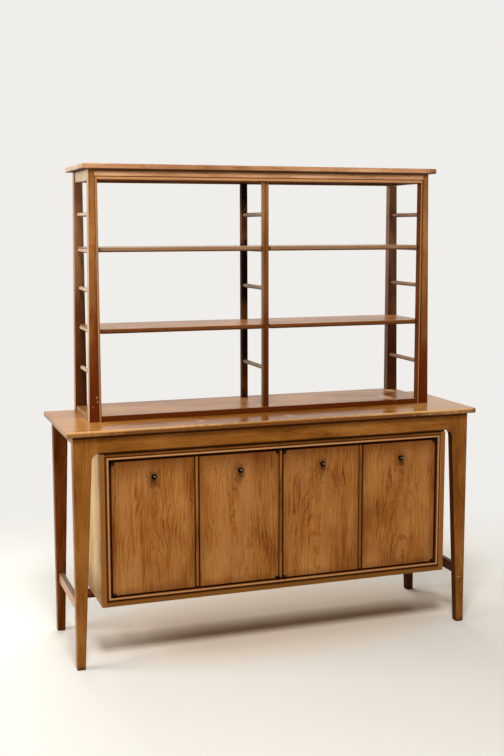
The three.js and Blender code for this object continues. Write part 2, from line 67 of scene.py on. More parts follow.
# Sides, and doors with the way from their hinges to their other edge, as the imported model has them
sides = {"left": -1, "right": 1}
doors = {"outer_left": 1, "inner_left": -1, "inner_right": 1, "outer_right": -1}

# Camera
camera_place = Vector((-1.3448, -3.7492, 1.4469))
camera_yaw = -0.336
camera_pitch = -0.133
camera_roll = -0.002
image_height = 756
focal_pixels = 1127.94
sensor_height = 36

# Roundings, and what counts as a sharp edge, a corner, a flat face and one point
fine_edge = 0.0006
board_edge = 0.0012
strip_edge = 0.0028
leg_edge = 0.003
top_nose = 0.008
top_corner = 0.004
sharp_angle = math.radians(32)
corner_angle = math.radians(48)
flat_angle = math.radians(0.5)
merge_distance = 0.00001

# Front legs and apron
top_low = 0.782
apron_height = 0.059
apron_low = top_low - apron_height
apron_thickness = 0.021
tongue_setback = 0.009
case_drop = 0.006
foot_width = 0.027
knee_width = 0.0655
shoulder_width = 0.084
haunch_radius = 0.027
haunch_steps = 14

# Bead frame round the doors: widths outside the mouth, and depths behind the case's front
bead_width = 0.0085
groove_depth = 0.006
frame_depth = 0.033
mouth_inset = {"side": 0.0145, "top": 0.012, "bottom": 0.016}
lip_reach = {"side": 0.014, "top": 0.0145, "bottom": 0.0115}
lip_front_depth = 0.025
bead_steps = 14

# Knobs
knob_foot_radius = 0.0065
knob_foot = 0.002
knob_neck_radius = 0.004
knob_neck = 0.005
knob_radius = 0.01
knob_reach = 0.018
knob_rim_radius = 0.0066
knob_dish = 0.0009

# Shares of the knob's foot height, foot radius, rim radius and dish depth
foot_side_share = 0.7
foot_edge_share = 0.9
rim_inner_share = 0.86
dish_share = 0.8
crown_share = 0.4

# Hinges
knuckle_radius = 0.007
knuckle_lap = 0.007
knuckle_gap = 0.00075
leaf_thickness = 0.0015
leaf_length = 0.045
leaf_front = 0.004
leaf_rear = 0.016
pin_radius = 0.002
pin_reach = 0.005

# Shares of the knuckle's radius and height: its domed ends and the seam round its middle
dome_share = 0.18
lower_end_share = 0.85
upper_end_share = 0.8
seam_radius_share = 0.93
seam_place = 0.5
seam_reach = 0.03

# Steps round a turned piece and over a knob's head
round_steps = 32
head_steps = 12

# Centre ladder
centre_post_depth = 0.022
rungs_in_ladder = 5

# Groove and bead on a front post's face, from its inner side
post_groove_edge = 0.01
post_bead_edge = 0.007
# How wide the painted shade and highlight lines on a post blend
painted_line_blend = 0.001


# Meshes

def object_from(bm, name):
    mesh = bpy.data.meshes.new(name)
    bm.to_mesh(mesh)
    bm.free()
    made = bpy.data.objects.new(name, mesh)
    bpy.context.scene.collection.objects.link(made)
    return made


def piece_from(bm, node, body="carcass"):
    """The node's finer piece from a finished bmesh: smooth on its rounds, sharp at its corners."""
    bmesh.ops.recalc_face_normals(bm, faces=bm.faces)
    for face in bm.faces:
        face.smooth = True
    for edge in bm.edges:
        edge.smooth = len(edge.link_faces) == 2 and edge.calc_face_angle() < sharp_angle
    piece = object_from(bm, "fine_" + node)
    shading = piece.modifiers.new("even_shading", "WEIGHTED_NORMAL")
    shading.keep_sharp = True
    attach(piece, body)
    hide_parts(node)
    return piece


def round_off(bm, edges, radius, segments=3):
    bmesh.ops.bevel(bm, geom=list(edges), offset=radius, segments=segments, profile=0.5,
                    affect="EDGES", clamp_overlap=True)


def corners_of(bm):
    return [e for e in bm.edges if len(e.link_faces) == 2 and e.calc_face_angle() > corner_angle]


def refined(node, radius, body="carcass"):
    """The node's solid with whole flat faces, rounded corners and smooth rounds."""
    bm = bmesh.new()
    bm.from_mesh(frame["nodes"][node].data)
    bmesh.ops.remove_doubles(bm, verts=bm.verts, dist=merge_distance)
    bmesh.ops.dissolve_limit(bm, angle_limit=flat_angle, verts=bm.verts, edges=bm.edges)
    round_off(bm, corners_of(bm), radius)
    return piece_from(bm, node, body)


def prism(outline, axis, low, high):
    """A bmesh of an outline run along one axis. The outline is across and up as seen along it."""
    place = {
        "y": lambda across, up, along: (across, along, up),
        "z": lambda across, up, along: (across, up, along),
    }[axis]
    bm = bmesh.new()
    near = [bm.verts.new(place(a, u, low)) for a, u in outline]
    far = [bm.verts.new(place(a, u, high)) for a, u in outline]
    bm.faces.new(near)
    bm.faces.new(far)
    for i in range(len(outline)):
        j = (i + 1) % len(outline)
        bm.faces.new((near[i], near[j], far[j], far[i]))
    bmesh.ops.recalc_face_normals(bm, faces=bm.faces)
    return bm


def box_mesh(low, high):
    outline = [(low[0], low[1]), (high[0], low[1]), (high[0], high[1]), (low[0], high[1])]
    return prism(outline, "z", low[2], high[2])


def arc(centre, radius, start, end, steps):
    """Points on an arc, with both its ends."""
    angles = [start + (end - start) * i / steps for i in range(steps + 1)]
    return [(centre[0] + radius * math.cos(angle), centre[1] + radius * math.sin(angle)) for angle in angles]


def lathe(profile):
    """A bmesh of a profile of (radius, height) points turned round Z, closed on the axis at both ends."""
    bm = bmesh.new()
    rings = []
    for radius, height in profile:
        ring = arc((0, 0), radius, 0, 2 * math.pi, round_steps)[:-1] if radius else [(0, 0)]
        rings.append([bm.verts.new((x, y, height)) for x, y in ring])
    for low, high in zip(rings, rings[1:]):
        for i in range(round_steps):
            j = (i + 1) % round_steps
            if len(low) == 1:
                bm.faces.new((low[0], high[i], high[j]))
            elif len(high) == 1:
                bm.faces.new((low[i], low[j], high[0]))
            else:
                bm.faces.new((low[i], low[j], high[j], high[i]))
    return bm


def move(bm, place, turn):
    bmesh.ops.transform(bm, matrix=Matrix.Translation(place) @ turn, verts=bm.verts)


def take_in(bm, other):
    """Moves the other bmesh's shape into the first."""
    held = bpy.data.meshes.new("held")
    other.to_mesh(held)
    other.free()
    bm.from_mesh(held)
    bpy.data.meshes.remove(held)


def midpoint(edge):
    return (edge.verts[0].co + edge.verts[1].co) / 2


# Leg frame and hutch top

def bullnose_board(node):
    """A board with softened upright corners and a rounded nose all round."""
    low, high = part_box(node)
    bm = box_mesh(low, high)
    upright = [e for e in bm.edges if abs(e.verts[0].co.z - e.verts[1].co.z) > top_nose]
    round_off(bm, upright, top_corner, 4)
    flat = [e for e in corners_of(bm) if abs(e.verts[0].co.z - e.verts[1].co.z) < fine_edge]
    round_off(bm, flat, top_nose, 6)
    return piece_from(bm, node)


def haunch():
    """The curve from a front leg's tapered inner side into the apron's lower edge."""
    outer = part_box("leg_front_right")[1].x
    taper = (knee_width - foot_width) / top_low
    tilt = math.atan(taper)
    centre_z = apron_low - haunch_radius
    inner = outer - foot_width - taper * centre_z
    centre_x = inner - haunch_radius / math.cos(tilt)
    shoulder = outer - shoulder_width
    split = math.acos((shoulder - centre_x) / haunch_radius)
    return outer, shoulder, (centre_x, centre_z), tilt, split


def front_leg(side):
    """A leg that tapers on its inner side, wide at the shoulder, with its part of the haunch."""
    outer, shoulder, centre, tilt, split = haunch()
    sign = sides[side]
    node = "leg_front_" + side
    low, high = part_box(node)
    outline = [(outer - foot_width, 0), (outer, 0), (outer, top_low), (shoulder, top_low)]
    outline += arc(centre, haunch_radius, split, tilt, haunch_steps)
    bm = prism([(sign * x, z) for x, z in outline], "y", low.y, high.y)

    def free(edge):
        middle = midpoint(edge)
        along_depth = abs(edge.verts[0].co.y - edge.verts[1].co.y) > leg_edge
        at_joint = abs(abs(middle.x) - shoulder) < fine_edge
        return not along_depth and not at_joint and middle.z < top_low - fine_edge

    round_off(bm, [e for e in bm.edges if free(e)], leg_edge, 4)
    return piece_from(bm, node)


def front_apron():
    """The apron between the front legs, with its ends' part of the haunches and its lower tongue."""
    _, shoulder, centre, _, split = haunch()
    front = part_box("front_apron")[0].y
    right = arc(centre, haunch_radius, math.pi / 2, split, haunch_steps) + [(shoulder, top_low)]
    outline = right + [(-x, z) for x, z in reversed(right)]
    bm = prism(outline, "y", front, front + apron_thickness)
    lower = [e for e in bm.edges if midpoint(e).z < apron_low + fine_edge
             and abs(e.verts[0].co.x - e.verts[1].co.x) > shoulder]
    round_off(bm, lower, board_edge)
    tongue = box_mesh(
        (-centre[0], front + tongue_setback, apron_low - case_drop),
        (centre[0], front + apron_thickness - fine_edge, apron_low - fine_edge),
    )
    take_in(bm, tongue)
    return piece_from(bm, "front_apron")


# Case

# Which of its materials the bead frame's bottom, right, top and left take, on the bead and behind it
bead_looks = (4, 1, 0, 1)
behind_looks = (3, 2, 2, 2)


def bead_profile():
    """Widths outside the mouth and depths: the bead's half round, the groove, and the stop lip behind."""
    radius = bead_width / 2

    def all_round(width):
        return {"side": width, "top": width, "bottom": width}

    half_round = arc((radius, radius), radius, -math.pi, 0, bead_steps)
    lip = {key: -reach for key, reach in lip_reach.items()}
    return [(all_round(width), depth) for width, depth in half_round] + [
        (all_round(bead_width), groove_depth),
        (mouth_inset, groove_depth),
        (mouth_inset, frame_depth),
        (lip, frame_depth),
        (lip, lip_front_depth),
        (all_round(0), lip_front_depth),
    ]


def bead_ring():
    """The mitred moulding round the doors, with the numbers of its own materials on its faces."""
    low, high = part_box("bead_frame")
    half = high.x - mouth_inset["side"]
    mouth_low = low.z + mouth_inset["bottom"]
    mouth_high = high.z - mouth_inset["top"]
    bm = bmesh.new()
    rings = []
    for width, depth in bead_profile():
        x = half + width["side"]
        y = low.y + depth
        bottom = mouth_low - width["bottom"]
        top = mouth_high + width["top"]
        corners = ((-x, y, bottom), (x, y, bottom), (x, y, top), (-x, y, top))
        rings.append([bm.verts.new(corner) for corner in corners])
    for i, ring in enumerate(rings):
        following = rings[(i + 1) % len(rings)]
        own_looks = bead_looks if i < bead_steps else behind_looks
        for side, look in enumerate(own_looks):
            after = (side + 1) % len(ring)
            face = bm.faces.new((ring[side], ring[after], following[after], following[side]))
            face.material_index = look
    return piece_from(bm, "bead_frame")


# Doors

def knob(name):
    """A turned knob: a foot, a thin neck and a round head with a shallow dish."""
    node = "knob_" + name
    low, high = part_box(node)
    head = knob_reach - knob_foot - knob_neck
    middle = knob_reach - head / 2
    start = math.asin(-knob_neck / head)
    rim = math.acos(knob_rim_radius / knob_radius)
    profile = [
        (0, 0),
        (knob_foot_radius, 0),
        (knob_foot_radius, knob_foot * foot_side_share),
        (knob_foot_radius * foot_edge_share, knob_foot),
        (knob_neck_radius, knob_foot),
    ]
    for i in range(head_steps + 1):
        angle = start + (rim - start) * i / head_steps
        profile.append((knob_radius * math.cos(angle), middle + head / 2 * math.sin(angle)))
    face_height = profile[-1][1]
    profile += [
        (knob_rim_radius * rim_inner_share, face_height),
        (knob_rim_radius * dish_share, face_height - knob_dish),
        (knob_rim_radius * crown_share, face_height - knob_dish * crown_share),
        (0, face_height),
    ]
    bm = lathe(profile)
    centre = (low + high) / 2
    move(bm, (centre.x, high.y, centre.z), Matrix.Rotation(math.pi / 2, 4, "X"))
    return piece_from(bm, node, "door_" + name)


def hinge(name, end):
    """A knife hinge's knuckle with a domed pin head, and its leaf along the door's edge."""
    node = f"hinge_{name}_{end}"
    hand = doors[name]
    low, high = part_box(node)
    axis_x = low.x + knuckle_radius if hand > 0 else high.x - knuckle_radius
    axis_y = low.y + knuckle_radius
    up = 1 if end == "top" else -1
    inner = low.z if up > 0 else high.z
    dome = knuckle_radius * dome_share
    height = high.z - low.z
    knuckle_height = height - pin_reach - knuckle_gap
    profile = [
        (0, 0),
        (knuckle_radius * lower_end_share, 0),
        (knuckle_radius, dome),
        (knuckle_radius, knuckle_height * (seam_place - seam_reach)),
        (knuckle_radius * seam_radius_share, knuckle_height * seam_place),
        (knuckle_radius, knuckle_height * (seam_place + seam_reach)),
        (knuckle_radius, knuckle_height - dome),
        (knuckle_radius * upper_end_share, knuckle_height),
        (pin_radius, knuckle_height),
        (pin_radius, height),
        (0, height),
    ]
    bm = lathe(profile)
    move(bm, (axis_x, axis_y, inner), Matrix.Diagonal((1, 1, up, 1)))
    edge = inner + up * knuckle_lap
    ends = sorted((axis_x, axis_x + hand * leaf_length))
    heights = sorted((edge, edge + up * leaf_thickness))
    leaf = box_mesh((ends[0], axis_y + leaf_front, heights[0]), (ends[1], axis_y + leaf_rear, heights[1]))
    round_off(leaf, corners_of(leaf), fine_edge, 2)
    take_in(bm, leaf)
    return piece_from(bm, node, "door_" + name)


# Hutch

def rod(node):
    """A round rung, smooth, with its ends in the posts."""
    low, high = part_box(node)
    radius = (high.x - low.x) / 2
    length = high.y - low.y
    bm = lathe([(0, 0), (radius, 0), (radius, length), (0, length)])
    centre = (low + high) / 2
    move(bm, (centre.x, low.y, centre.z), Matrix.Rotation(-math.pi / 2, 4, "X"))
    return piece_from(bm, node)


# Materials

def linear(red, green, blue):
    """A colour written as it looks on screen, from 0 to 255, as the shader wants it."""
    shares = (red / 255, green / 255, blue / 255)
    return tuple(s / 12.92 if s <= 0.04045 else ((s + 0.055) / 1.055) ** 2.4 for s in shares) + (1,)


class Tree:
    """The nodes of a material or a world. Each call returns the socket that it makes."""

    def __init__(self, owner, shader="Principled BSDF"):
        owner.use_nodes = True
        self.owner = owner
        self.nodes = owner.node_tree.nodes
        self.links = owner.node_tree.links
        self.shader = self.nodes[shader]

    def feed(self, socket, value):
        if isinstance(value, bpy.types.NodeSocket):
            self.links.new(value, socket)
        else:
            socket.default_value = value

    def set(self, key, value):
        self.feed(self.shader.inputs[key], value)

    def node(self, kind, values, output=0, **settings):
        made = self.nodes.new(kind)
        for key, value in settings.items():
            setattr(made, key, value)
        for key, value in values.items():
            self.feed(made.inputs[key], value)
        return made.outputs[output]

    def maths(self, operation, *values):
        made = self.nodes.new("ShaderNodeMath")
        made.operation = operation
        for socket, value in zip(made.inputs, values):
            self.feed(socket, value)
        return made.outputs[0]

    def sum(self, first, second):
        return self.maths("ADD", first, second)

    def product(self, first, second):
        return self.maths("MULTIPLY", first, second)

    def vector(self, operation, first, second):
        made = self.nodes.new("ShaderNodeVectorMath")
        made.operation = operation
        self.feed(made.inputs[0], first)
        self.feed(made.inputs[1], second)
        return made.outputs["Value" if operation == "DISTANCE" else "Vector"]

    def distance(self, place, centre=(0, 0, 0), squash=(1, 1, 1)):
        """How far a place is from a centre, with each axis taken squash times."""
        offset = self.vector("MULTIPLY", self.vector("SUBTRACT", place, centre), squash)
        return self.vector("DISTANCE", offset, (0, 0, 0))

    def noise(self, place, stretch, detail=2, roughness=0.5):
        stretched = self.vector("MULTIPLY", place, stretch)
        values = {"Vector": stretched, "Scale": 1.0, "Detail": detail, "Roughness": roughness}
        return self.node("ShaderNodeTexNoise", values)

    def swing(self, value, size):
        """A noise of 0 to 1 as a swing round zero of that size."""
        return self.product(self.maths("SUBTRACT", value, 0.5), 2 * size)

    def ramp(self, value, start, end, low=0.0, high=1.0):
        values = {"Value": value, "From Min": start, "From Max": end, "To Min": low, "To Max": high}
        return self.node("ShaderNodeMapRange", values, interpolation_type="SMOOTHSTEP")

    def mix(self, share, first, second):
        """A mix of two colours. The mix node has them in sockets 6 and 7, and gives socket 2."""
        made = self.nodes.new("ShaderNodeMix")
        made.data_type = "RGBA"
        self.feed(made.inputs[0], share)
        self.feed(made.inputs[6], first)
        self.feed(made.inputs[7], second)
        return made.outputs[2]

    def colours(self, value, stops):
        made = self.nodes.new("ShaderNodeValToRGB")
        ramp = made.color_ramp
        while len(ramp.elements) < len(stops):
            ramp.elements.new(0.5)
        for element, (place, colour) in zip(ramp.elements, stops):
            element.position = place
            element.color = colour
        self.feed(made.inputs[0], value)
        return made.outputs[0]


def satin(dark, middle, light, lines, roughness, shine, spacing=0.011, **more):
    """A look: dark, middle and light wood, how strong and how far apart its year rings are, and its finish.

    It can have a swing of the streaks of its own too, and a cast that comes in here and there.
    """
    return {"dark": dark, "middle": middle, "light": light, "lines": lines, "spacing": spacing,
            "roughness": roughness, "shine": shine, **more}


looks = {
    "frame_wood": satin((80, 40, 10), (124, 75, 26), (148, 97, 44), lines=0.12, roughness=0.38, shine=0.4),
    # shaded_wood is painted shade: a darker, duller copy for faces where shade falls
    "shaded_wood": satin((34, 14, 4), (62, 28, 8), (84, 44, 16), lines=0.1, roughness=0.55, shine=0.05),
    "rear_wood": satin((70, 28, 6), (124, 64, 22), (148, 88, 38), lines=0.12, roughness=0.4, shine=0.3),
    "top_wood": satin((100, 56, 16), (146, 92, 34), (172, 118, 54),
                      lines=0.14, roughness=0.22, shine=0.26, spacing=0.012),
    "case_wood": satin((76, 36, 8), (128, 76, 30), (152, 98, 46), lines=0.1, roughness=0.38, shine=0.3),
    # side_wood is paler wood that stands in for the window's light on the case sides: painted light
    "side_wood": satin((153, 116, 69), (199, 163, 112), (217, 183, 132),
                       lines=0.08, roughness=0.45, shine=0.15),
    "bead_wood": satin((76, 36, 8), (112, 68, 26), (138, 90, 42), lines=0.06, roughness=0.32, shine=0.4),
    # groove_shade is painted shade in the groove round the doors
    "groove_shade": satin((50, 18, 4), (92, 44, 14), (114, 64, 26), lines=0.1, roughness=0.6, shine=0.05),
    "door_veneer": satin((92, 43, 12), (147, 92, 40), (171, 120, 64), lines=0.2, roughness=0.38, shine=0.3,
                         spacing=0.0125, streaks=0.5, cast=(158, 110, 64)),
    "hutch_wood": satin((84, 40, 14), (134, 85, 42), (164, 113, 64), lines=0.1, roughness=0.36, shine=0.5),
    # cream_wood stands in for the window's light on faces that look to the left: painted light; with a low
    # shade it is painted shade
    "cream_wood": satin((142, 118, 90), (182, 158, 130), (202, 180, 154),
                        lines=0.12, roughness=0.45, shine=0.2),
    "pale_wood": satin((118, 78, 48), (161, 116, 82), (187, 144, 108),
                       lines=0.12, roughness=0.36, shine=0.5),
    "rung_wood": satin((104, 84, 60), (148, 127, 100), (174, 153, 126),
                       lines=0.1, roughness=0.45, shine=0.25),
    "shelf_wood": satin((88, 50, 20), (138, 92, 46), (166, 118, 68),
                        lines=0.26, roughness=0.3, shine=0.35, spacing=0.012),
    # A paler, greyer copy of shelf_wood for the upper shelf: a painted sheen on its grazing top
    "painted_sheen_shelf": satin((92, 62, 38), (142, 108, 74), (170, 136, 102),
                        lines=0.26, roughness=0.3, shine=0.35, spacing=0.012),
    "inner_wood": satin((66, 38, 16), (108, 70, 34), (134, 92, 50),
                        lines=0.12, roughness=0.6, shine=0.3, spacing=0.012),
}

# Tints that come back: black for painted shade in grooves and under overhangs, a dark brown, and the
# reflections' tint
painted_shade_black = (12, 4, 0)
dark_brown = (70, 30, 6)
amber_reflection = (170, 96, 40)

# The grain's noises: about how often they change in a metre across, through and along it, then their
# detail, and their roughness where it isn't the usual half
grain_noises = {
    "wander": ((5, 5, 1.8), 2),
    "ripple": ((20, 20, 9), 2),
    "tremble": ((70, 70, 45), 2),
    "patches": ((14, 14, 5), 2),
    "streaks": ((240, 240, 9), 3, 0.65),
    "bands": ((16, 16, 1.3), 2),
    "mottle": ((13, 13, 6), 3),
    "pores": ((900, 900, 30), 2),
    "cast": ((22, 22, 4), 3),
    "ragged": ((160, 160, 60), 3),
}

# Seeds, and where the heart lies
golden_share = 0.618034
heart_depth = 0.03
heart_spread = 0.12

# Year rings: how far the noises move them, where a ring is late wood, and its strength in patches
wander_size = 0.075
ripple_size = 0.02
tremble_size = 0.005
late_wood = (0.55, 1.0)
patch_noise = (0.34, 0.62)
patch_strength = (0.4, 1.3)
fine_ring_spacing = 0.43
fine_ring_strength = 0.25

# Tone: its middle, the noises' swings, and where dark, middle and light wood lie on it
middle_tone = 0.56
tone_swings = {"streaks": 0.38, "bands": 0.3, "mottle": 0.55}
tone_places = {"dark": 0.1, "middle": 0.52, "light": 0.9}
pore_noise = (0.58, 0.72)
pore_share = 0.42
cast_noise = (0.42, 0.66)
cast_share = 0.5

# Fades, rims and marks: how far the noises move their borders, and a mark's even core
fade_waver = 1 / 3
rim_waver = 0.25
mark_core = 0.4

# Finish
gloss_swing = 0.05
relief_share = 0.5
relief_strength = 0.18
relief_height = 0.0004


class Wood(Tree):
    """Satin wood whose year rings are cut through in three directions."""

    def __init__(self, name, node, look, grain, face, order, shade, heart):
        super().__init__(bpy.data.materials.new(name))
        self.style = looks[look]
        self.shade = shade
        self.low, self.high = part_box(node)
        self.grain = grain
        self.across_axis = ({"x", "y", "z"} - {grain, face}).pop()
        self.seed = (order * golden_share) % 1
        self.place = self.node("ShaderNodeTexCoord", {}, "Object")
        split = self.nodes.new("ShaderNodeSeparateXYZ")
        self.links.new(self.place, split.inputs[0])
        self.split = dict(zip("xyz", split.outputs))
        self.made_noises = {}
        if heart is None:
            heart = (self.seed - 0.5) * heart_spread
        self.along = self.local(grain)
        self.across = self.local(self.across_axis, heart)
        self.through = self.local(face)
        places = {"X": self.across, "Y": self.through, "Z": self.along}
        shift = (3 * self.seed, 7 * ((5 * self.seed) % 1), 11 * ((9 * self.seed) % 1))
        self.fibre = self.vector("ADD", self.node("ShaderNodeCombineXYZ", places), shift)

    def local(self, axis, offset=0.0):
        """The place along an axis, from the middle of the piece."""
        number = "xyz".index(axis)
        middle = (self.low[number] + self.high[number]) / 2
        return self.maths("SUBTRACT", self.split[axis], middle + offset)

    def grained(self, kind):
        """One of the grain's noises, made once."""
        if kind not in self.made_noises:
            self.made_noises[kind] = self.noise(self.fibre, *grain_noises[kind])
        return self.made_noises[kind]

    def tinted(self, key):
        """One of the look's colours, as light or dark as the piece is."""
        red, green, blue, _ = linear(*self.style[key])
        return red * self.shade, green * self.shade, blue * self.shade, 1

    def year_rings(self, figure):
        """How much darker the late wood is. figure tilts the rings' heart into the face."""
        spacing = self.style["spacing"]
        lines = self.style["lines"]
        depth = self.sum(self.through, heart_depth * (1 + self.seed))
        depth = self.sum(depth, self.product(self.along, figure))
        depth = self.sum(depth, self.swing(self.grained("wander"), wander_size))
        squares = self.sum(self.product(self.across, self.across), self.product(depth, depth))
        radius = self.sum(self.maths("SQRT", squares), self.swing(self.grained("ripple"), ripple_size))
        radius = self.sum(radius, self.swing(self.grained("tremble"), tremble_size))
        wave = self.maths("SINE", self.product(radius, 2 * math.pi / spacing))
        weakest, strongest = patch_strength
        strength = self.ramp(self.grained("patches"), *patch_noise, weakest * lines, strongest * lines)
        late = self.product(self.ramp(wave, *late_wood), strength)
        fine_wave = self.maths("SINE", self.product(radius, 2 * math.pi / (spacing * fine_ring_spacing)))
        return self.sum(late, self.product(fine_wave, fine_ring_strength * lines))

    def grain_colour(self, late):
        """The look's dark, middle and light wood, with dark pores and the cast if it has one."""
        tone = middle_tone
        for kind, size in tone_swings.items():
            tone = self.sum(tone, self.swing(self.grained(kind), self.style.get(kind, size)))
        tone = self.maths("SUBTRACT", tone, late)
        colour = self.colours(tone, [(place, self.tinted(key)) for key, place in tone_places.items()])
        pores = self.ramp(self.grained("pores"), *pore_noise, 0.0, pore_share)
        colour = self.mix(pores, colour, self.tinted("dark"))
        if "cast" in self.style:
            patches = self.ramp(self.grained("cast"), *cast_noise, 0.0, cast_share)
            colour = self.mix(patches, colour, self.tinted("cast"))
        return colour

    def faded(self, colour, axis, start, end, tint, share):
        """A tint that comes in along an axis, with a wavering border."""
        wavering = self.swing(self.grained("mottle"), abs(end - start) * fade_waver)
        along = self.sum(self.split[axis], wavering)
        if start < end:
            reach = self.ramp(along, start, end, 0.0, share)
        else:
            reach = self.ramp(along, end, start, share, 0.0)
        return self.mix(reach, colour, linear(*tint))

    def rimmed(self, colour, width, tint, share):
        """A tint along the broad side's edges."""
        gaps = []
        for axis in (self.grain, self.across_axis):
            number = "xyz".index(axis)
            half = (self.high[number] - self.low[number]) / 2
            gaps.append(self.maths("SUBTRACT", half, self.maths("ABSOLUTE", self.local(axis))))
        wavering = self.swing(self.grained("mottle"), width * rim_waver)
        nearest = self.sum(self.maths("MINIMUM", *gaps), wavering)
        return self.mix(self.ramp(nearest, 0.0, width, share, 0.0), colour, linear(*tint))

    def marked(self, colour, centre, size, squash, tint, share):
        """A single ragged spot, squashed along the axes."""
        distance = self.distance(self.place, centre, squash)
        ragged = self.sum(distance, self.swing(self.grained("ragged"), size))
        return self.mix(self.ramp(ragged, size * mark_core, size, share, 0.0), colour, linear(*tint))

    def finish(self, colour):
        """The colour under a satin finish that shows the streaks and the pores in its relief."""
        streaks = self.grained("streaks")
        self.set("Base Color", colour)
        gloss = self.sum(self.style["roughness"], self.swing(streaks, gloss_swing))
        self.set("Roughness", gloss)
        self.set("Specular IOR Level", self.style["shine"])
        self.set("Specular Tint", linear(*amber_reflection))
        height = self.product(self.sum(streaks, self.grained("pores")), relief_share)
        relief = {"Height": height, "Strength": relief_strength, "Distance": relief_height}
        self.set("Normal", self.node("ShaderNodeBump", relief))


def wood(name, node, look, grain, face, order,
         figure=0.0, shade=1.0, heart=None, fades=(), rims=(), marks=()):
    """A wood material for a node's piece.

    grain is the way the fibres run and face the way the broad side looks. order spreads the seeds, figure
    tilts the heart into the face, and heart places it across. fades are (axis, start, end, tint, share),
    rims are (width, tint, share), and marks are (centre, size, squash, tint, share).
    """
    tree = Wood(name, node, look, grain, face, order, shade, heart)
    colour = tree.grain_colour(tree.year_rings(figure))
    for fade in fades:
        colour = tree.faded(colour, *fade)
    for rim in rims:
        colour = tree.rimmed(colour, *rim)
    for mark in marks:
        colour = tree.marked(colour, *mark)
    tree.finish(colour)
    return tree.owner


# Metal: noises, how rough its patches are, the painted glint's core and reach, and the scratches' relief
metal_patches = ((260, 260, 260), 3, 0.6)
metal_scratches = ((1500, 1500, 1500), 2)
metal_roughness = (0.3, 0.7, 0.42, 0.24)
glint_spot = (0.0016, 0.0032)
glint_tint = (232, 216, 190)
scratch_strength = 0.15
scratch_height = 0.0002


def dark_metal(name, painted_glint=None):
    """Dark antiqued brass: brown-black in the hollows, warmer in patches, with a painted glint where one is
    given.
    """
    tree = Tree(bpy.data.materials.new(name))
    place = tree.node("ShaderNodeTexCoord", {}, "Object")
    patches = tree.noise(place, *metal_patches)
    colour = tree.colours(patches, [
        (0.4, linear(16, 9, 5)),
        (0.6, linear(34, 23, 14)),
        (0.8, linear(88, 66, 42)),
    ])
    if painted_glint is not None:
        spot = tree.ramp(tree.distance(place, painted_glint), *glint_spot, 1.0, 0.0)
        colour = tree.mix(spot, colour, linear(*glint_tint))
    tree.set("Base Color", colour)
    tree.set("Metallic", 1.0)
    tree.set("Roughness", tree.ramp(patches, *metal_roughness))
    scratches = tree.noise(place, *metal_scratches)
    relief = {"Height": scratches, "Strength": scratch_strength, "Distance": scratch_height}
    tree.set("Normal", tree.node("ShaderNodeBump", relief))
    return tree.owner


# Dressing

# The nodes that have their wood: a piece's seed is its place among them
dressed = []

# Seeds past those of the pieces, for the woods that some faces have to themselves
first_own_seed = 68
own_seed = {kind: number for number, kind in enumerate((
    "outer_rear", "low", "upright", "groove", "lip", "outer", "upper", "ends",
    "front_post", "front_post_side", "rear_post", "rung_under",
), first_own_seed)}

# How much of a face's normal has to point a way: on flat faces, on eased edges and on rounds
flat_share = 0.8
eased_share = 0.6
round_share = 0.3

# Painted light and shade: how light the pieces are that differ from side to side, lighter on the left
shades = {
    "left": {"rear_leg": 0.7, "mullion": 1.15, "stretcher_upper": 0.42,
             "front_post": 1.05, "rear_post": 0.75, "rung": 1.0},
    "right": {"rear_leg": 0.4, "mullion": 0.85, "stretcher_upper": 0.1,
              "front_post": 0.8, "rear_post": 0.58, "rung": 0.7},
}
# The left rungs take cream wood, painted light
rung_looks = {"left": "cream_wood", "right": "pale_wood"}


def dress(piece, node, look, grain, face, **more):
    """The piece's own wood, which it starts its materials with."""
    dressed.append(node)
    piece.data.materials.clear()
    piece.data.materials.append(wood("wood_" + node, node, look, grain, face, len(dressed), **more))
    return piece


def dress_solid(node, radius, look, grain, face, **more):
    """A piece that keeps its solid's shape, with rounded corners."""
    return dress(refined(node, radius), node, look, grain, face, **more)


def add_wood(piece, kind, node, look, grain, face, **more):
    """One more wood on a piece, with a seed of its own or else the piece's."""
    seed = own_seed.get(kind, len(dressed))
    piece.data.materials.append(wood(f"wood_{kind}_{node}", node, look, grain, face, seed, **more))


def repaint(piece, chosen, kind, node, look, grain, face, **more):
    """Another wood on the faces that are chosen."""
    add_wood(piece, kind, node, look, grain, face, **more)
    for polygon in piece.data.polygons:
        if chosen(polygon):
            polygon.material_index = len(piece.data.materials) - 1


def facing(axis, sign, share):
    """Chooses the faces whose normal has more than that share along an axis."""
    return lambda polygon: polygon.normal["xyz".index(axis)] * sign > share


def shade_inner(piece, node, sign, grain="z", face="y", **more):
    """Painted shade: darker and duller wood on the faces that look to the middle of the sideboard."""
    repaint(piece, facing("x", -sign, flat_share), "inner", node, "shaded_wood", grain, face, **more)


def shade_under(piece, node, **more):
    """Painted shade: darker and duller wood on the faces that look down."""
    repaint(piece, facing("z", -1, flat_share), "under", node, "shaded_wood", "x", "z", **more)


def front_fade(node, tint, share, start=0.003, end=0.0005):
    """A tint on a piece's front edge, from start to end behind it."""
    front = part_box(node)[0].y
    return "y", front + start, front + end, tint, share


def on_top(node, spots):
    """Marks on a board's upper face, from (x, y, size, squash, tint, share)."""
    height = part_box(node)[1].z
    return [(Vector((x, y, height)), *rest) for x, y, *rest in spots]


# Leg frame

# The legs darken at their feet, and take a painted shadow under the base top
darker_foot = ("z", 0.016, 0.006, dark_brown, 0.7)
shadow_under_top = ("z", top_low - 0.0115, top_low - 0.0085, (40, 15, 3), 0.9)

